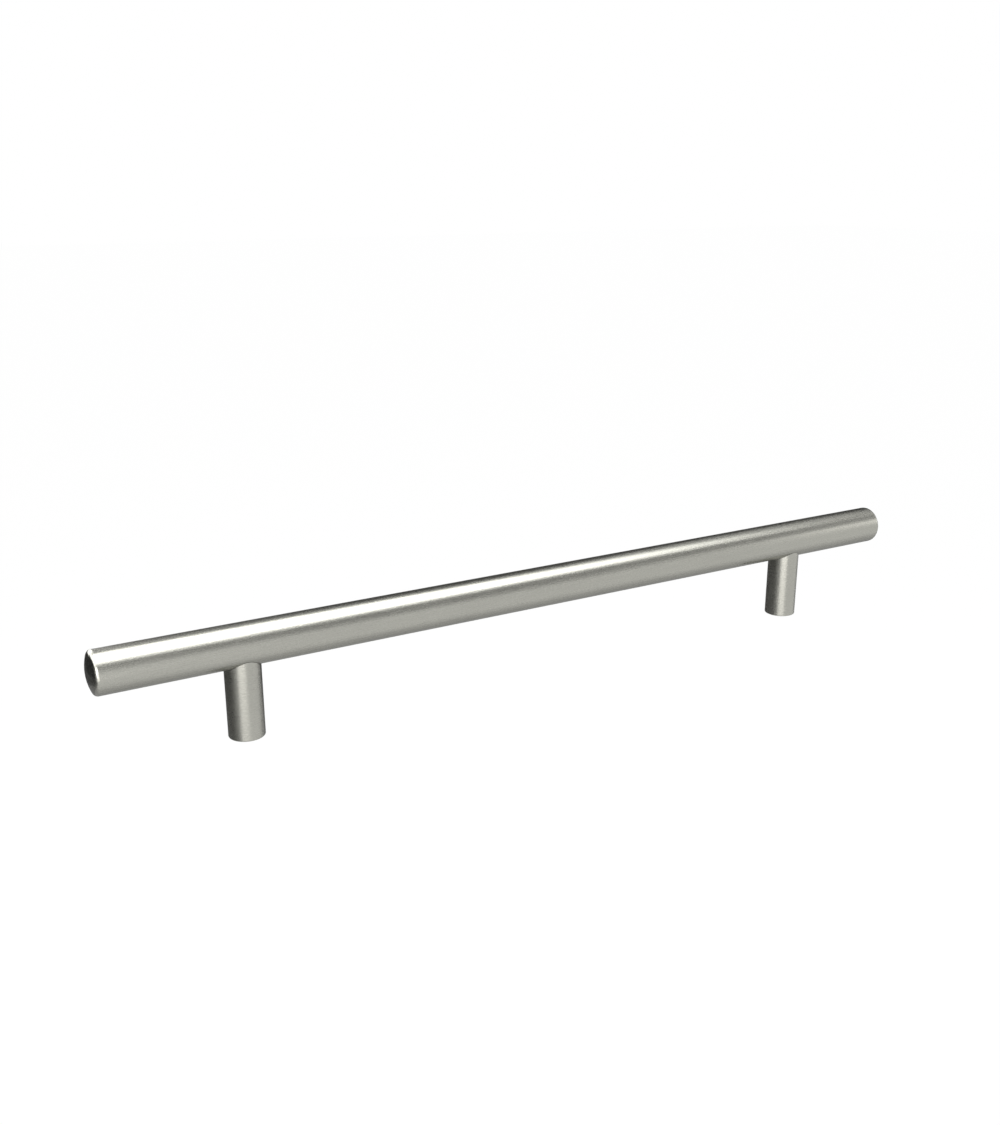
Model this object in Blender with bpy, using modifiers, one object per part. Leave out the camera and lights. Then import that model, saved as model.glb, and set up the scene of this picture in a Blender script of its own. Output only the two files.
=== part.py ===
"""Cabinet pull: a round bar with crowned ends on two posts that are coped to fit round it.

Metres, +Z up. The origin is the centre of the mounting plane, half-way between the posts, with
+X along the bar and +Z away from the door. Each post is drilled and tapped right through. A
threaded stud joins it to the bar, and the screw that fixes the pull comes in from the base.
"""

import math

import bmesh
import bpy

# The bar
BAR_DIAMETER = 0.012
# From the centre line of a post to the tip of the bar beyond it
END_OVERHANG = 0.040
# How far the crown of an end would stand out if it ran on to the full diameter of the bar
END_CROWN_RISE = 0.00135
END_EDGE_RADIUS = 0.00125

# The posts. The projection is measured from the door to the front of the bar
POST_SPACING = 0.192
POST_DIAMETER = 0.010
PROJECTION = 0.032
BASE_CHAMFER = 0.0002

# The tapped holes, at the outer diameter of their thread
THREAD_DIAMETER = 0.004
HOLE_MOUTH_CHAMFER = 0.0003
DRILL_POINT_ANGLE = math.radians(118)

# The joining studs
STUD_REACH_IN_BAR = 0.005
STUD_REACH_IN_POST = 0.006
STUD_END_CHAMFER = 0.0004
SOCKET_ACROSS_FLATS = 0.002
SOCKET_DEPTH = 0.002

# Clearances
SEAT_GAP = 0.0003
THREAD_GAP = 0.0003
STUD_END_ROOM = 0.001
# How far a cutter stands out of the face that it opens
CUTTER_MARGIN = 0.001

# Fineness of the surfaces
BAR_SIDES = 64
POST_SIDES = 48
HOLE_SIDES = 24
CROWN_STEPS = 6
EDGE_STEPS = 6
SOCKET_SIDES = 6
MERGE_DISTANCE = 1e-6
SHARP_ANGLE = math.radians(30)

# Satin finishes, as colour and roughness
BRUSHED_STEEL = ((0.388, 0.386, 0.349, 1.0), 0.3)
PLAIN_STEEL = ((0.36, 0.36, 0.36, 1.0), 0.4)

# Places that follow from the sizes
BAR_LENGTH = POST_SPACING + 2 * END_OVERHANG
BAR_RADIUS = BAR_DIAMETER / 2
BAR_HEIGHT = PROJECTION - BAR_RADIUS
BAR_UNDERSIDE = BAR_HEIGHT - BAR_RADIUS
HOLE_RADIUS = THREAD_DIAMETER / 2
STUD_RADIUS = HOLE_RADIUS - THREAD_GAP
SIDES = (("left", -1), ("right", 1))


def clear_scene():
    for obj in list(bpy.data.objects):
        bpy.data.objects.remove(obj, do_unlink=True)


def new_collection(name):
    collection = bpy.data.collections.new(name)
    bpy.context.scene.collection.children.link(collection)
    return collection


def steel(name, finish):
    colour, roughness = finish
    material = bpy.data.materials.new(name)
    material.use_nodes = True
    shader = material.node_tree.nodes["Principled BSDF"]
    shader.inputs["Base Color"].default_value = colour
    shader.inputs["Metallic"].default_value = 1.0
    shader.inputs["Roughness"].default_value = roughness
    return material


def turned(name, profile, sides, collection):
    """A solid turned about its own Z axis. The profile holds (radius, height) pairs, top to bottom."""
    mesh = bpy.data.meshes.new(name)
    points = [(radius, 0.0, height) for radius, height in profile]
    edges = [(i, i + 1) for i in range(len(points) - 1)]
    mesh.from_pydata(points, edges, [])
    obj = bpy.data.objects.new(name, mesh)
    collection.objects.link(obj)
    screw = obj.modifiers.new("turn", "SCREW")
    screw.axis = "Z"
    screw.steps = sides
    screw.render_steps = sides
    screw.use_merge_vertices = True
    screw.merge_threshold = MERGE_DISTANCE
    return obj


def hexagonal_prism(name, across_flats, depth, collection):
    """A prism that stands on its own origin, for cutting a socket."""
    mesh = bpy.data.meshes.new(name)
    radius = across_flats / 2 / math.cos(math.pi / SOCKET_SIDES)
    shape = bmesh.new()
    bmesh.ops.create_cone(
        shape, cap_ends=True, segments=SOCKET_SIDES, radius1=radius, radius2=radius, depth=depth
    )
    bmesh.ops.translate(shape, verts=shape.verts, vec=(0.0, 0.0, depth / 2))
    shape.to_mesh(mesh)
    shape.free()
    obj = bpy.data.objects.new(name, mesh)
    collection.objects.link(obj)
    return obj


def hide_cutter(cutter):
    cutter.hide_render = True
    cutter.display_type = "WIRE"


def cut(target, cutter):
    hide_cutter(cutter)
    boolean = target.modifiers.new(cutter.name, "BOOLEAN")
    boolean.operation = "DIFFERENCE"
    boolean.solver = "EXACT"
    boolean.object = cutter


def lay_along_bar(obj):
    """Turns a solid's own Z axis on to the axis of the bar."""
    obj.rotation_euler.y = math.pi / 2
    obj.location.z = BAR_HEIGHT


def finish(obj, material):
    """Keeps the cut shape as the mesh, so that its curved faces shade smooth and its edges sharp."""
    evaluated = obj.evaluated_get(bpy.context.evaluated_depsgraph_get())
    mesh = bpy.data.meshes.new_from_object(evaluated)
    mesh.name = obj.name
    obj.modifiers.clear()
    obj.data = mesh
    mesh.shade_smooth()
    mesh.set_sharp_from_angle(angle=SHARP_ANGLE)
    mesh.materials.clear()
    mesh.materials.append(material)


def crowned_end():
    """One end of the bar as (radius, depth behind its tip) pairs, from the middle outwards.

    A shallow spherical crown runs into a small round edge, which runs into the side of the bar.
    """
    crown_radius = (BAR_RADIUS**2 + END_CROWN_RISE**2) / (2 * END_CROWN_RISE)
    edge_centre = BAR_RADIUS - END_EDGE_RADIUS
    between_centres = crown_radius - END_EDGE_RADIUS
    edge_depth = crown_radius - math.sqrt(between_centres**2 - edge_centre**2)
    meeting_angle = math.asin(edge_centre / between_centres)
    profile = []
    for i in range(CROWN_STEPS):
        angle = meeting_angle * i / CROWN_STEPS
        profile.append((crown_radius * math.sin(angle), crown_radius * (1 - math.cos(angle))))
    for i in range(EDGE_STEPS + 1):
        angle = meeting_angle + (math.pi / 2 - meeting_angle) * i / EDGE_STEPS
        radius = edge_centre + END_EDGE_RADIUS * math.sin(angle)
        profile.append((radius, edge_depth - END_EDGE_RADIUS * math.cos(angle)))
    return profile


def make_bar(parts):
    end = crowned_end()
    half = BAR_LENGTH / 2
    profile = [(radius, half - depth) for radius, depth in end]
    profile += [(radius, depth - half) for radius, depth in reversed(end)]
    bar = turned("bar", profile, BAR_SIDES, parts)
    lay_along_bar(bar)
    return bar


def make_bar_hole(side, post_axis, cutters):
    """A blind hole up into the underside of the bar, with the cone that the drill leaves."""
    depth = STUD_REACH_IN_BAR + STUD_END_ROOM
    point_height = HOLE_RADIUS / math.tan(DRILL_POINT_ANGLE / 2)
    profile = [
        (0.0, depth + point_height),
        (HOLE_RADIUS, depth),
        (HOLE_RADIUS, -CUTTER_MARGIN),
        (0.0, -CUTTER_MARGIN),
    ]
    hole = turned(f"bar_hole_{side}", profile, HOLE_SIDES, cutters)
    hole.location.z = BAR_UNDERSIDE
    hole.parent = post_axis
    return hole


def make_bar_seat(cutters):
    """The bar's own cylinder and its seating gap, which copes the top of each post."""
    radius = BAR_RADIUS + SEAT_GAP
    half = BAR_LENGTH / 2
    profile = [(0.0, half), (radius, half), (radius, -half), (0.0, -half)]
    seat = turned("bar_seat", profile, BAR_SIDES, cutters)
    lay_along_bar(seat)
    return seat


def make_post(side, post_axis, parts):
    radius = POST_DIAMETER / 2
    profile = [
        (0.0, BAR_HEIGHT),
        (radius, BAR_HEIGHT),
        (radius, BASE_CHAMFER),
        (radius - BASE_CHAMFER, 0.0),
        (0.0, 0.0),
    ]
    post = turned(f"post_{side}", profile, POST_SIDES, parts)
    post.parent = post_axis
    return post


def make_post_hole(side, post_axis, cutters):
    """The hole right through a post, with a chamfered mouth in its base."""
    flare = HOLE_MOUTH_CHAMFER + CUTTER_MARGIN
    profile = [
        (0.0, BAR_HEIGHT),
        (HOLE_RADIUS, BAR_HEIGHT),
        (HOLE_RADIUS, HOLE_MOUTH_CHAMFER),
        (HOLE_RADIUS + flare, -CUTTER_MARGIN),
        (0.0, -CUTTER_MARGIN),
    ]
    hole = turned(f"post_hole_{side}", profile, HOLE_SIDES, cutters)
    hole.parent = post_axis
    return hole


def make_stud(side, post_axis, parts):
    """A headless stud across the joint. Its origin is where the bar's underside meets the post."""
    neck = STUD_RADIUS - STUD_END_CHAMFER
    top = STUD_REACH_IN_BAR
    bottom = -STUD_REACH_IN_POST
    profile = [
        (0.0, top),
        (neck, top),
        (STUD_RADIUS, top - STUD_END_CHAMFER),
        (STUD_RADIUS, bottom + STUD_END_CHAMFER),
        (neck, bottom),
        (0.0, bottom),
    ]
    stud = turned(f"joining_stud_{side}", profile, HOLE_SIDES, parts)
    stud.location.z = BAR_UNDERSIDE
    stud.parent = post_axis
    return stud


def make_stud_socket(side, post_axis, cutters):
    """The hexagon socket in the lower end of a stud, reached through the hole in the post."""
    depth = SOCKET_DEPTH + CUTTER_MARGIN
    socket = hexagonal_prism(f"stud_socket_{side}", SOCKET_ACROSS_FLATS, depth, cutters)
    socket.location.z = BAR_UNDERSIDE - STUD_REACH_IN_POST - CUTTER_MARGIN
    socket.parent = post_axis
    return socket


def make_post_axis(side, direction, parts):
    """The centre line of a post, which carries the post, its stud and their holes."""
    post_axis = bpy.data.objects.new(f"post_axis_{side}", None)
    post_axis.location.x = direction * POST_SPACING / 2
    parts.objects.link(post_axis)
    return post_axis


def main():
    clear_scene()
    parts = new_collection("cabinet_pull")
    cutters = new_collection("cutters")
    brushed_steel = steel("brushed_steel", BRUSHED_STEEL)
    plain_steel = steel("plain_steel", PLAIN_STEEL)

    bar = make_bar(parts)
    bar_seat = make_bar_seat(cutters)
    finishes = [(bar, brushed_steel)]
    for side, direction in SIDES:
        post_axis = make_post_axis(side, direction, parts)
        cut(bar, make_bar_hole(side, post_axis, cutters))
        post = make_post(side, post_axis, parts)
        cut(post, bar_seat)
        cut(post, make_post_hole(side, post_axis, cutters))
        stud = make_stud(side, post_axis, parts)
        cut(stud, make_stud_socket(side, post_axis, cutters))
        finishes += [(post, brushed_steel), (stud, plain_steel)]

    bpy.context.view_layer.update()
    for obj, material in finishes:
        finish(obj, material)


main()
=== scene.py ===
"""A cabinet pull in satin brushed steel, dressed for rendering over its fixed CAD frame.

Metres, +Z up. The posts stand on Z = 0 and the bar runs along X at the height of their tops.
"""

import math

import bmesh
import bpy
from mathutils import Matrix, Vector


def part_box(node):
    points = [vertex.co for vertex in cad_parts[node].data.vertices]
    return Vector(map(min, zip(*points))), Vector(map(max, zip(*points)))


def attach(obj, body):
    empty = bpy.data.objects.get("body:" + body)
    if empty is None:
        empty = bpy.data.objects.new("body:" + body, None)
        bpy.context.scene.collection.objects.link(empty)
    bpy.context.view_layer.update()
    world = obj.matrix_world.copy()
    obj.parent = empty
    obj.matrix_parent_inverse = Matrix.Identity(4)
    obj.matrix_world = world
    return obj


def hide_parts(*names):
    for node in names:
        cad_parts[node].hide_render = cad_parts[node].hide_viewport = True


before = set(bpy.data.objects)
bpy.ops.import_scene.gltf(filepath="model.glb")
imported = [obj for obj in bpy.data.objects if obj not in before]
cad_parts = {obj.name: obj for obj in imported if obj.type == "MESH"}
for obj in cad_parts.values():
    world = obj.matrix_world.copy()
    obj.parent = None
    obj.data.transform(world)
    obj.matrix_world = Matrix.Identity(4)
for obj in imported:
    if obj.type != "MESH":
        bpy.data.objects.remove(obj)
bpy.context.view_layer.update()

# The camera of the photograph: its place, where it looks and its lens
CAMERA_PLACE = (-0.188761, -0.293034, 0.143517)
CAMERA_TURN = math.radians(30.448)
CAMERA_TILT = math.radians(17.559)
CAMERA_ROLL = math.radians(-0.042)
CAMERA_LENS = 38.856
CAMERA_FILM = 36.0
CAMERA_CLIP_START = 0.01

# The bar
BAR_LOW, BAR_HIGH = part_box("bar")
BAR_HALF = BAR_HIGH[0]
BAR_RADIUS = (BAR_HIGH[2] - BAR_LOW[2]) / 2
BAR_HEIGHT = (BAR_HIGH[2] + BAR_LOW[2]) / 2
BAR_UNDERSIDE = BAR_HEIGHT - BAR_RADIUS
END_CROWN_RISE = 0.00135
END_EDGE_RADIUS = 0.00125

# The posts
POST_RADIUS = 0.005
POST_PLACES = {"left": -0.096, "right": 0.096}
BASE_CHAMFER = 0.0002
# How far in and up the middle of the base's chamfer lies, so that it bulges a little
CHAMFER_BULGE = 0.3 * BASE_CHAMFER
# The narrow bevel round the coped top of a post and round a stud's socket
TOP_EDGE = 0.00004
# The posts sit close on the bar, with only the line of the joint between them
JOINT_GAP = 0.00004

# The joining studs and the blind holes that take them in the bar
STUD_REACH_IN_BAR = 0.005
STUD_REACH_IN_POST = 0.006
STUD_END_RADIUS = 0.0013
STUD_END_ROOM = 0.001
SOCKET_ACROSS_FLATS = 0.002
SOCKET_DEPTH = 0.002
SOCKET_POINT_DEPTH = SOCKET_ACROSS_FLATS / 4
SOCKET_SIDES = 6
DRILL_POINT_ANGLE = math.radians(118)
# How far the cutter of a hole stands out of the bar
CUTTER_MARGIN = BAR_RADIUS / 4

# The M4 thread. Its radii are those of a post's thread, at the root and at the crest, and the
# thread of a stud is the counterpart, with a little play
THREAD_PITCH = 0.0007
THREAD_RADIUS = 0.002
THREAD_CREST_RADIUS = 0.00162
THREAD_PLAY = 0.00003
# How far a post's thread is carried up past the underside of the bar, before the coped top trims it
THREAD_RUN_ON = BAR_RADIUS / 2
HOLE_MOUTH_RADIUS = 0.0023
# One turn of the thread, as shares of its pitch: a flat root, a flank, a flat crest and a flank back
FLANK_START = 0.125
CREST_START = 0.4375
CREST_END = 0.6875
# Each flank is cut once more, about half-way
THREAD_EDGES = (0.0, FLANK_START, 0.28, CREST_START, CREST_END, 0.84)

# Fineness of the surfaces
BAR_SIDES = 192
BAR_RINGS = 34
CROWN_STEPS = 20
EDGE_STEPS = 14
POST_SIDES = 96
POST_RINGS = 12
TOP_RINGS = 10
CARD_STEPS = 8
# How far behind an edge a face is cut once more, so that it shades flat right up to the edge
EDGE_LOOP = 0.0001
MERGE_DISTANCE = 4e-7
SHARP_ANGLE = math.radians(28)

# The finish of the steel. Sizes are in metres
STEEL = (0.388, 0.386, 0.349)
PLAIN_STEEL = (0.36, 0.36, 0.36)
SPECKLE_SIZE = (0.0005, 0.0005, 0.0005)
CLOUD_SIZE = (0.025, 0.012, 0.012)
# What the streaks, the clouds and the speckle add to the tone, and how far it goes up and down
STREAK_SHARE = 0.3
CLOUD_SHARE = 0.2
SPECKLE_SHARE = 0.5
TONE_SWING = 0.07
GLOSS_SWING = 0.015
# The range that most of the noise keeps to, in the mixed tone and in the streaks by themselves
TONE_RANGE = (0.35, 0.65)
STREAK_RANGE = (0.25, 0.75)
# How deep the streaks are, as a share of the speckle's relief
STREAK_DEPTH = 1 / 12
# The turned ends of the bar are smoother than its side. The change lies this far behind the tips
END_SMOOTHNESS = 0.7
END_CHANGE = (0.0016, 0.0024)

# The studio
FLOOR_DEPTH = 0.45
FLOOR_HALF = 12.0
FLOOR_COLOUR = (0.9, 0.9, 0.9)
FLOOR_GLOW = 0.95
WHITE = (1.0, 1.0, 1.0)
WARM = (1.0, 0.975, 0.965)
# How light the paints of the cards are, and how brightly the cloths of the softboxes glow
PAINTS = {
    "black_card": 0.03,
    "foot_card": 0.065,
    "dark_card": 0.18,
    "soft_card": 0.3,
    "grey_card": 0.34,
    "middle_card": 0.4,
    "pale_card": 0.55,
}
CLOTHS = {"softbox_cloth": 2.8, "bright_cloth": 5.0}

# The cards and softboxes round the pull: first and last azimuth, low and high edge, surface, distance
NEAR = 0.9
FAR = 1.3
STANDING_CARDS = {
    "left_edge_card": (60.5, 75, -FLOOR_DEPTH, 0.67, "grey_card", FAR),
    "left_side_card": (75, 91, -FLOOR_DEPTH, 0.47, "dark_card", NEAR),
    "left_foot_card": (91, 224, -FLOOR_DEPTH, -0.25, "foot_card", NEAR),
    "left_card": (91, 181, -0.25, 0.03, "black_card", NEAR),
    "left_low_card": (91, 138, 0.03, 0.3, "black_card", NEAR),
    "left_high_card": (91, 118, 0.3, 0.47, "black_card", NEAR),
    "left_softbox": (62, 118, 0.47, 0.95, "softbox_cloth", NEAR),
    "middle_left_softbox": (118, 138, 0.3, 0.95, "softbox_cloth", NEAR),
    "back_left_softbox": (138, 179, 0.03, 0.95, "softbox_cloth", NEAR),
    "front_left_softbox": (28, 58.5, -0.05, 0.15, "softbox_cloth", FAR),
    "front_left_high_softbox": (20, 58.5, 0.15, 1.0, "bright_cloth", FAR),
    "back_left_low_card": (181, 195, -0.25, 0.45, "foot_card", NEAR),
    "back_left_card": (181, 195, 0.45, 0.66, "dark_card", NEAR),
    "back_card": (195, 224, -0.25, 0.66, "black_card", NEAR),
    "back_left_top_card": (181, 203, 0.66, 1.4, "grey_card", NEAR),
    "back_top_card": (203, 224, 0.66, 1.4, "dark_card", NEAR),
    "back_right_low_card": (224, 251, -FLOOR_DEPTH, 0.05, "black_card", NEAR),
    "back_right_card": (224, 254, 0.05, 0.52, "black_card", NEAR),
    "back_right_top_card": (224, 254, 0.52, 1.4, "soft_card", NEAR),
    "right_edge_card": (251, 276, -FLOOR_DEPTH, 0.05, "middle_card", NEAR),
    "front_card": (-44, 4, 0.54, 1.15, "soft_card", NEAR),
    "front_low_card": (-44, 4, 0.31, 0.54, "middle_card", NEAR),
    "side_card": (-106, -44, 0.49, 1.3, "soft_card", NEAR),
}

# The cards that lie just over the floor: first and last place along X and along Y, surface
LYING_HEIGHT = -0.4
LYING_CARDS = {
    "under_card_front": (-0.6, 0.8, -0.3, -0.13, "pale_card"),
    "under_card_middle": (-0.6, 0.8, -0.13, 0.06, "middle_card"),
    "under_card_back": (-0.6, 0.8, 0.06, 0.5, "soft_card"),
    "under_card_far": (-0.6, 0.8, 0.5, 0.9, "dark_card"),
    "under_card_left": (-1.0, -0.6, -0.5, 0.9, "dark_card"),
}

# The overhead lamps
LAMP_HEIGHT = BAR_HEIGHT + 0.85
OVERHEAD_TURN = math.radians(7)


# Geometry


def grid_piece(name, rows):
    """An open grid over rows of points."""
    mesh = bpy.data.meshes.new(name)
    columns = len(rows[0])
    points = [point for row in rows for point in row]
    faces = []
    for i in range(len(rows) - 1):
        for j in range(columns - 1):
            a = i * columns + j
            b = a + columns
            faces.append((a, a + 1, b + 1, b))
    mesh.from_pydata(points, [], faces)
    obj = bpy.data.objects.new(name, mesh)
    bpy.context.scene.collection.objects.link(obj)
    return obj


def skin(name, rows):
    """A closed skin over rows of points. Each row goes once round the piece and ends where it began."""
    obj = grid_piece(name, rows)
    shape = bmesh.new()
    shape.from_mesh(obj.data)
    bmesh.ops.remove_doubles(shape, verts=shape.verts, dist=MERGE_DISTANCE)
    bmesh.ops.dissolve_degenerate(shape, edges=shape.edges, dist=MERGE_DISTANCE)
    bmesh.ops.recalc_face_normals(shape, faces=shape.faces)
    shape.to_mesh(obj.data)
    shape.free()
    return obj


def turns(sides):
    return [2 * math.pi * i / sides for i in range(sides + 1)]


def round_z(x, radius, turn, z):
    """The point at that turn and radius round an upright axis at x."""
    return (x + radius * math.cos(turn), radius * math.sin(turn), z)


def crowned_end():
    """One end of the bar as (radius, depth behind its tip) pairs, from the middle outwards."""
    crown_radius = (BAR_RADIUS**2 + END_CROWN_RISE**2) / (2 * END_CROWN_RISE)
    edge_centre = BAR_RADIUS - END_EDGE_RADIUS
    between_centres = crown_radius - END_EDGE_RADIUS
    edge_depth = crown_radius - math.sqrt(between_centres**2 - edge_centre**2)
    meeting_angle = math.asin(edge_centre / between_centres)
    profile = []
    for i in range(CROWN_STEPS):
        angle = meeting_angle * i / CROWN_STEPS
        profile.append((crown_radius * math.sin(angle), crown_radius * (1 - math.cos(angle))))
    for i in range(EDGE_STEPS + 1):
        angle = meeting_angle + (math.pi / 2 - meeting_angle) * i / EDGE_STEPS
        radius = edge_centre + END_EDGE_RADIUS * math.sin(angle)
        profile.append((radius, edge_depth - END_EDGE_RADIUS * math.cos(angle)))
    return profile


def make_bar():
    end = crowned_end()
    end.append((BAR_RADIUS, end[-1][1] + EDGE_LOOP))
    straight = BAR_HALF - end[-1][1]
    profile = [(radius, depth - BAR_HALF) for radius, depth in end]
    for i in range(1, BAR_RINGS):
        profile.append((BAR_RADIUS, straight * (2 * i / BAR_RINGS - 1)))
    profile += [(radius, BAR_HALF - depth) for radius, depth in reversed(end)]
    rows = []
    for radius, x in profile:
        row = []
        for turn in turns(BAR_SIDES):
            row.append((x, radius * math.cos(turn), BAR_HEIGHT + radius * math.sin(turn)))
        rows.append(row)
    return skin("pull_bar", rows)


def drill(bar, x):
    """The blind hole up into the underside of the bar, for the stud of the post at x."""
    top = BAR_UNDERSIDE + STUD_REACH_IN_BAR + STUD_END_ROOM
    bottom = BAR_UNDERSIDE - CUTTER_MARGIN
    profile = [
        (0.0, top + THREAD_RADIUS / math.tan(DRILL_POINT_ANGLE / 2)),
        (THREAD_RADIUS, top),
        (THREAD_RADIUS, bottom),
        (0.0, bottom),
    ]
    rows = [[round_z(x, radius, turn, z) for turn in turns(POST_SIDES)] for radius, z in profile]
    cutter = skin("drill", rows)
    cut = bar.modifiers.new("stud_hole", "BOOLEAN")
    cut.operation = "DIFFERENCE"
    cut.solver = "EXACT"
    cut.object = cutter
    evaluated = bar.evaluated_get(bpy.context.evaluated_depsgraph_get())
    mesh = bpy.data.meshes.new_from_object(evaluated)
    bar.modifiers.clear()
    bar.data = mesh
    mesh.name = bar.name
    bpy.data.objects.remove(cutter, do_unlink=True)


def thread_share(turn, z):
    """How far a post's thread stands out at that turn and height, from 0 at its root to 1 at its crest."""
    place = (z / THREAD_PITCH - turn / (2 * math.pi)) % 1.0
    if place < FLANK_START:
        return 0.0
    if place < CREST_START:
        return (place - FLANK_START) / (CREST_START - FLANK_START)
    if place <= CREST_END:
        return 1.0
    return (1.0 - place) / (1.0 - CREST_END)


def thread_heights(turn, low, high):
    """Heights from above high down to below low that follow the thread's own edges."""
    first = math.floor(low / THREAD_PITCH) - 2
    last = math.ceil(high / THREAD_PITCH) + 1
    heights = []
    for k in range(last, first - 1, -1):
        for edge in reversed(THREAD_EDGES):
            heights.append((k + edge + turn / (2 * math.pi)) * THREAD_PITCH)
    return heights


def saddle_height(radius, turn):
    """The height of the post's coped top, which fits round the bar."""
    across = radius * math.sin(turn)
    return BAR_HEIGHT - math.sqrt((BAR_RADIUS + JOINT_GAP) ** 2 - across**2)


def post_column(x, turn):
    """The outline of the post at one turn: up its side, over its top, down its threaded hole."""
    side_top = saddle_height(POST_RADIUS, turn) - TOP_EDGE
    profile = [
        (HOLE_MOUTH_RADIUS, 0.0),
        (POST_RADIUS - BASE_CHAMFER - EDGE_LOOP, 0.0),
        (POST_RADIUS - BASE_CHAMFER, 0.0),
        (POST_RADIUS - CHAMFER_BULGE, CHAMFER_BULGE),
        (POST_RADIUS, BASE_CHAMFER),
    ]
    side_bottom = BASE_CHAMFER + EDGE_LOOP
    side_height = side_top - EDGE_LOOP - side_bottom
    for i in range(POST_RINGS + 1):
        profile.append((POST_RADIUS, side_bottom + side_height * i / POST_RINGS))
    profile.append((POST_RADIUS, side_top))
    top_rim = POST_RADIUS - TOP_EDGE
    profile.append((top_rim, saddle_height(top_rim, turn)))
    outer = top_rim - EDGE_LOOP
    inner = THREAD_RADIUS + TOP_EDGE
    for i in range(TOP_RINGS + 1):
        radius = outer + (inner - outer) * i / TOP_RINGS
        profile.append((radius, saddle_height(radius, turn)))
    hole_top = saddle_height(THREAD_RADIUS, turn) - TOP_EDGE
    depth = THREAD_RADIUS - THREAD_CREST_RADIUS
    for height in thread_heights(turn, 0.0, BAR_UNDERSIDE + THREAD_RUN_ON):
        z = min(max(height, 0.0), hole_top)
        radius = THREAD_RADIUS - depth * thread_share(turn, z)
        profile.append((max(radius, HOLE_MOUTH_RADIUS - z), z))
    return [round_z(x, radius, turn, z) for radius, z in profile]


def make_post(side):
    columns = [post_column(POST_PLACES[side], turn) for turn in turns(POST_SIDES)]
    rows = [list(row) for row in zip(*columns)]
    rows.append(rows[0])
    return skin(f"pull_post_{side}", rows)


def socket_radius(turn):
    """The distance from a stud's axis to the side of its hexagon socket."""
    side_angle = 2 * math.pi / SOCKET_SIDES
    return SOCKET_ACROSS_FLATS / 2 / math.cos((turn % side_angle) - side_angle / 2)


def stud_column(x, turn):
    """The outline of a stud at one turn: over its top, down its thread, up into its socket."""
    low = BAR_UNDERSIDE - STUD_REACH_IN_POST
    high = BAR_UNDERSIDE + STUD_REACH_IN_BAR
    depth = THREAD_RADIUS - THREAD_CREST_RADIUS + THREAD_PLAY
    profile = [(0.0, high), (STUD_END_RADIUS, high)]
    for height in thread_heights(turn, low, high):
        z = min(max(height, low), high)
        radius = THREAD_RADIUS - THREAD_PLAY - depth * thread_share(turn, z)
        profile.append((min(radius, STUD_END_RADIUS + z - low, STUD_END_RADIUS + high - z), z))
    flat = socket_radius(turn)
    profile += [
        (flat + TOP_EDGE, low),
        (flat, low + TOP_EDGE),
        (flat, low + SOCKET_DEPTH),
        (0.0, low + SOCKET_DEPTH + SOCKET_POINT_DEPTH),
    ]
    return [round_z(x, radius, turn, z) for radius, z in profile]


def make_stud(side):
    columns = [stud_column(POST_PLACES[side], turn) for turn in turns(POST_SIDES)]
    rows = [list(row) for row in zip(*columns)]
    return skin(f"pull_stud_{side}", rows)


# Materials


class Nodes:
    """Short names for the nodes of one material."""

    def __init__(self, name):
        self.material = bpy.data.materials.new(name)
        self.material.use_nodes = True
        self.tree = self.material.node_tree
        self.shader = self.tree.nodes["Principled BSDF"]
        self.place = self.tree.nodes.new("ShaderNodeTexCoord").outputs["Object"]

    def link(self, source, socket):
        self.tree.links.new(source, socket)

    def math(self, operation, *values):
        node = self.tree.nodes.new("ShaderNodeMath")
        node.operation = operation
        for value, socket in zip(values, node.inputs):
            if isinstance(value, (int, float)):
                socket.default_value = value
            else:
                self.link(value, socket)
        return node.outputs[0]

    def noise(self, size, detail, roughness=0.5):
        """Noise whose grains are about that size in metres, along X, Y and Z."""
        stretch = self.tree.nodes.new("ShaderNodeMapping")
        stretch.inputs["Scale"].default_value = tuple(1 / length for length in size)
        self.link(self.place, stretch.inputs["Vector"])
        node = self.tree.nodes.new("ShaderNodeTexNoise")
        node.inputs["Scale"].default_value = 1.0
        node.inputs["Detail"].default_value = detail
        node.inputs["Roughness"].default_value = roughness
        self.link(stretch.outputs["Vector"], node.inputs["Vector"])
        return node.outputs["Fac"]

    def spread(self, value, low, high, new_low, new_high):
        """Stretches the range from low to high over the range from new_low to new_high."""
        node = self.tree.nodes.new("ShaderNodeMapRange")
        node.inputs["From Min"].default_value = low
        node.inputs["From Max"].default_value = high
        node.inputs["To Min"].default_value = new_low
        node.inputs["To Max"].default_value = new_high
        self.link(value, node.inputs["Value"])
        return node.outputs["Result"]

    def blend(self, share, dark, light):
        node = self.tree.nodes.new("ShaderNodeMix")
        node.data_type = "RGBA"
        colours = [socket for socket in node.inputs if socket.type == "RGBA"]
        colours[0].default_value = (*dark, 1.0)
        colours[1].default_value = (*light, 1.0)
        self.link(share, node.inputs[0])
        return [socket for socket in node.outputs if socket.type == "RGBA"][0]

    def bump(self, height, depth, below=None):
        node = self.tree.nodes.new("ShaderNodeBump")
        node.inputs["Strength"].default_value = 1.0
        node.inputs["Distance"].default_value = depth
        self.link(height, node.inputs["Height"])
        if below is not None:
            self.link(below, node.inputs["Normal"])
        return node.outputs["Normal"]


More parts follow.
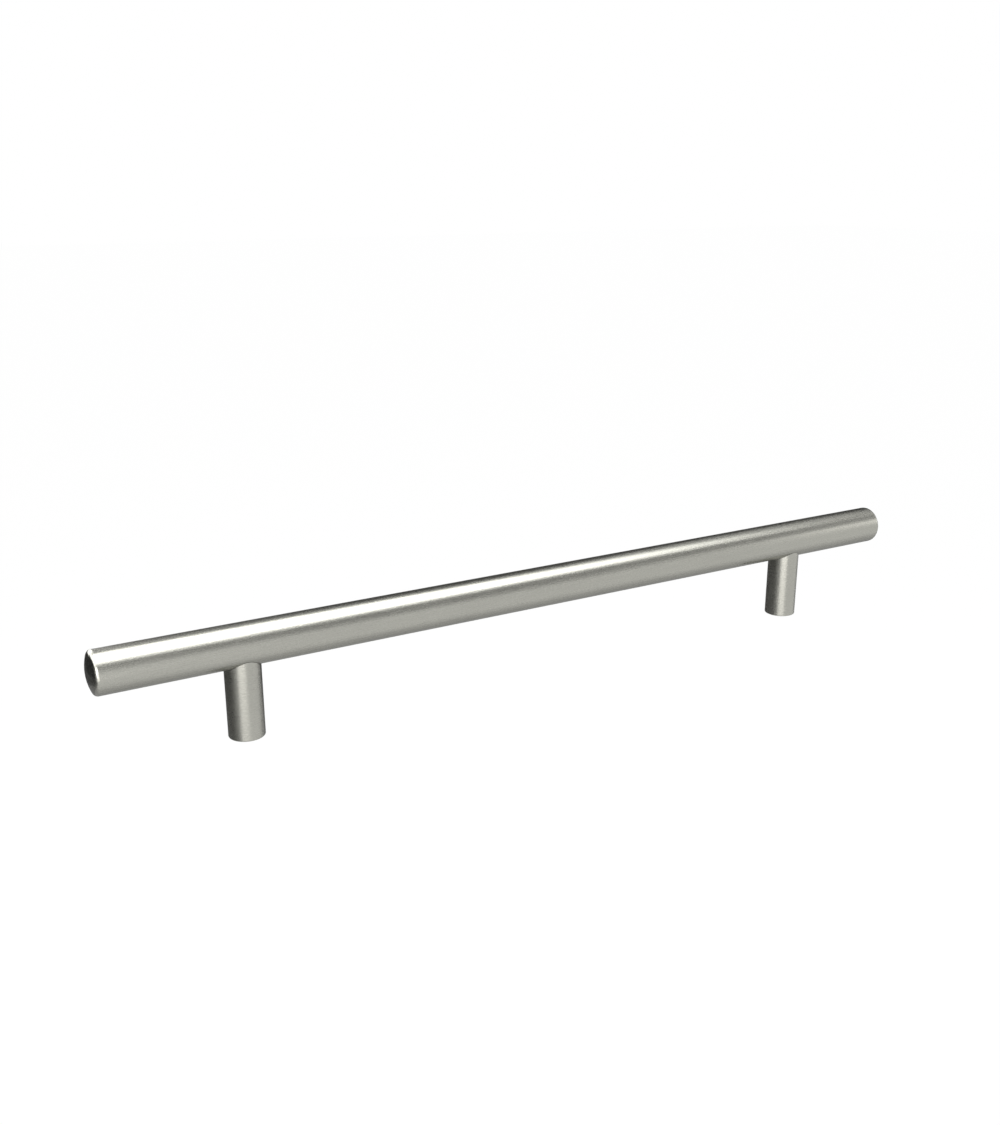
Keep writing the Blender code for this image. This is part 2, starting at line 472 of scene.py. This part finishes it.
def brushed_steel(name, colour, grain, roughness, relief, turned_ends=False):
    """Satin steel with a fine grain, whose size is given along X, Y and Z."""
    nodes = Nodes(name)
    shader = nodes.shader
    shader.inputs["Metallic"].default_value = 1.0
    streaks = nodes.noise(grain, detail=3.0, roughness=0.6)
    speckle = nodes.noise(SPECKLE_SIZE, detail=2.0)
    clouds = nodes.noise(CLOUD_SIZE, detail=1.0)

    streaks_and_clouds = nodes.math(
        "ADD", nodes.math("MULTIPLY", streaks, STREAK_SHARE), nodes.math("MULTIPLY", clouds, CLOUD_SHARE)
    )
    tone = nodes.math("ADD", streaks_and_clouds, nodes.math("MULTIPLY", speckle, SPECKLE_SHARE))
    dark = tuple((1 - TONE_SWING) * part for part in colour)
    light = tuple((1 + TONE_SWING) * part for part in colour)
    shade = nodes.blend(nodes.spread(tone, *TONE_RANGE, 0.0, 1.0), dark, light)
    nodes.link(shade, shader.inputs["Base Color"])

    gloss = nodes.spread(streaks, *STREAK_RANGE, roughness - GLOSS_SWING, roughness + GLOSS_SWING)
    if turned_ends:
        along = nodes.tree.nodes.new("ShaderNodeSeparateXYZ")
        nodes.link(nodes.place, along.inputs["Vector"])
        from_middle = nodes.math("ABSOLUTE", along.outputs["X"])
        near, far = END_CHANGE
        end = nodes.spread(from_middle, BAR_HALF - far, BAR_HALF - near, 1.0, END_SMOOTHNESS)
        gloss = nodes.math("MULTIPLY", gloss, end)
    nodes.link(gloss, shader.inputs["Roughness"])

    speckled = nodes.bump(speckle, relief)
    nodes.link(nodes.bump(streaks, relief * STREAK_DEPTH, below=speckled), shader.inputs["Normal"])
    return nodes.material


def dress(piece, node, material):
    piece.data.shade_smooth()
    piece.data.set_sharp_from_angle(angle=SHARP_ANGLE)
    piece.data.materials.clear()
    piece.data.materials.append(material)
    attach(piece, "root")
    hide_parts(node)


def make_pull():
    bar_steel = brushed_steel(
        "bar_steel",
        STEEL,
        grain=(0.006, 0.00018, 0.00018),
        roughness=0.27,
        relief=0.00002,
        turned_ends=True,
    )
    post_steel = brushed_steel(
        "post_steel", STEEL, grain=(0.004, 0.004, 0.00018), roughness=0.28, relief=0.000024
    )
    stud_steel = brushed_steel(
        "stud_steel", PLAIN_STEEL, grain=(0.0005, 0.0005, 0.0002), roughness=0.4, relief=0.00001
    )
    bar = make_bar()
    for x in POST_PLACES.values():
        drill(bar, x)
    dress(bar, "bar", bar_steel)
    for side in POST_PLACES:
        dress(make_post(side), f"post_{side}", post_steel)
        dress(make_stud(side), f"joining_stud_{side}", stud_steel)


# Studio


def make_camera():
    data = bpy.data.cameras.new("camera")
    data.lens = CAMERA_LENS
    data.sensor_width = CAMERA_FILM
    data.clip_start = CAMERA_CLIP_START
    camera = bpy.data.objects.new("camera", data)
    camera.location = CAMERA_PLACE
    heading = Matrix.Rotation(-CAMERA_TURN, 3, "Z")
    tilt = Matrix.Rotation(math.pi / 2 - CAMERA_TILT, 3, "X")
    roll = Matrix.Rotation(CAMERA_ROLL, 3, "Z")
    camera.rotation_euler = (heading @ tilt @ roll).to_euler()
    bpy.context.scene.collection.objects.link(camera)
    bpy.context.scene.camera = camera


def make_world():
    world = bpy.data.worlds.new("world")
    bpy.context.scene.world = world
    world.use_nodes = True
    background = world.node_tree.nodes["Background"]
    background.inputs["Color"].default_value = (*WHITE, 1.0)
    background.inputs["Strength"].default_value = 1.0


def floor_paper():
    """Plain pale paper. It looks white to the camera and in reflections, and still takes shadows."""
    material = bpy.data.materials.new("floor_paper")
    material.use_nodes = True
    tree = material.node_tree
    tree.nodes.clear()
    paint = tree.nodes.new("ShaderNodeBsdfDiffuse")
    paint.inputs["Color"].default_value = (*FLOOR_COLOUR, 1.0)
    glow = tree.nodes.new("ShaderNodeEmission")
    glow.inputs["Color"].default_value = (*WHITE, 1.0)
    glow.inputs["Strength"].default_value = 1.0
    path = tree.nodes.new("ShaderNodeLightPath")
    seen = path.outputs["Is Camera Ray"]
    for kind in ("Is Glossy Ray", "Is Transmission Ray"):
        either = tree.nodes.new("ShaderNodeMath")
        either.operation = "MAXIMUM"
        tree.links.new(seen, either.inputs[0])
        tree.links.new(path.outputs[kind], either.inputs[1])
        seen = either.outputs[0]
    share = tree.nodes.new("ShaderNodeMath")
    share.operation = "MULTIPLY"
    tree.links.new(seen, share.inputs[0])
    share.inputs[1].default_value = FLOOR_GLOW
    mix = tree.nodes.new("ShaderNodeMixShader")
    tree.links.new(share.outputs[0], mix.inputs["Fac"])
    tree.links.new(paint.outputs["BSDF"], mix.inputs[1])
    tree.links.new(glow.outputs["Emission"], mix.inputs[2])
    out = tree.nodes.new("ShaderNodeOutputMaterial")
    tree.links.new(mix.outputs["Shader"], out.inputs["Surface"])
    return material


def card_paint(name, level):
    material = bpy.data.materials.new(name)
    material.use_nodes = True
    shader = material.node_tree.nodes["Principled BSDF"]
    shader.inputs["Base Color"].default_value = (level, level, level, 1.0)
    shader.inputs["Roughness"].default_value = 1.0
    shader.inputs["Specular IOR Level"].default_value = 0.0
    return material


def softbox_cloth(name, strength):
    material = bpy.data.materials.new(name)
    material.use_nodes = True
    shader = material.node_tree.nodes["Principled BSDF"]
    shader.inputs["Base Color"].default_value = (0.0, 0.0, 0.0, 1.0)
    shader.inputs["Emission Color"].default_value = (*WHITE, 1.0)
    shader.inputs["Emission Strength"].default_value = strength
    return material


def stage_sheet(name, rows, material):
    """An open grid of points as a piece of the stage."""
    obj = grid_piece(name, rows)
    obj.data.materials.append(material)
    return obj


def flat_sheet(name, first_x, last_x, first_y, last_y, z, material):
    rows = [[(first_x, y, z), (last_x, y, z)] for y in (first_y, last_y)]
    return stage_sheet(name, rows, material)


def round_the_pull(azimuth, distance, height):
    """A place round the pull. The azimuth goes from -Y, where the camera side is, towards -X."""
    turn = math.radians(azimuth)
    return (-math.sin(turn) * distance, -math.cos(turn) * distance, height)


def standing_card(name, first, last, low, high, material, distance):
    """A curved card that stands round the pull."""
    azimuths = [first + (last - first) * i / CARD_STEPS for i in range(CARD_STEPS + 1)]
    rows = [[round_the_pull(azimuth, distance, z) for azimuth in azimuths] for z in (low, high)]
    return stage_sheet(name, rows, material)


def show_in_reflections_only(obj):
    obj.visible_camera = False
    obj.visible_shadow = False
    obj.visible_diffuse = False


def make_cards():
    surfaces = {name: card_paint(name, level) for name, level in PAINTS.items()}
    surfaces.update((name, softbox_cloth(name, strength)) for name, strength in CLOTHS.items())
    for name, (first, last, low, high, surface, distance) in STANDING_CARDS.items():
        card = standing_card(name, first, last, low, high, surfaces[surface], distance)
        show_in_reflections_only(card)
    for name, (first_x, last_x, first_y, last_y, surface) in LYING_CARDS.items():
        card = flat_sheet(name, first_x, last_x, first_y, last_y, LYING_HEIGHT, surfaces[surface])
        show_in_reflections_only(card)


def lamp(name, place, size, radiance, target=None, shape="RECTANGLE", tint=WHITE):
    """A soft lamp of that radiance, so that a mirror of it shows that much light.

    It shines at the target, or straight down where none is given.
    """
    data = bpy.data.lights.new(name, "AREA")
    data.color = tint
    data.shape = shape
    data.size, data.size_y = size
    area = size[0] * size[1]
    if shape == "ELLIPSE":
        area *= math.pi / 4
    data.energy = radiance * math.pi * area
    obj = bpy.data.objects.new(name, data)
    obj.location = place
    if target is not None:
        aim = Vector(target) - Vector(place)
        obj.rotation_euler = aim.to_track_quat("-Z", "Y").to_euler()
    obj.visible_camera = False
    bpy.context.scene.collection.objects.link(obj)
    return obj


def make_lamps():
    place = (-0.1, 0.008, LAMP_HEIGHT)
    overhead = lamp("overhead_softbox", place, size=(1.74, 1.03), radiance=2.8, shape="ELLIPSE")
    overhead.rotation_euler = (0.0, 0.0, OVERHEAD_TURN)
    lamp("corner_softbox", (0.67, -0.18, LAMP_HEIGHT), size=(0.34, 0.1), radiance=2.5)
    middle = (0.0, 0.0, 0.0)
    place = round_the_pull(28, 0.85, -0.11)
    lamp("low_strip", place, size=(0.66, 0.36), radiance=1.5, target=middle, tint=WARM)
    place = round_the_pull(-66, 0.88, 0.24)
    lamp("right_panel", place, size=(0.34, 0.26), radiance=1.25, target=middle, tint=WARM)


def make_studio():
    make_world()
    half = FLOOR_HALF
    flat_sheet("floor", -half, half, -half, half, -FLOOR_DEPTH, floor_paper())
    make_cards()
    make_lamps()


make_pull()
make_camera()
make_studio()
bpy.context.scene.view_settings.view_transform = "Standard"
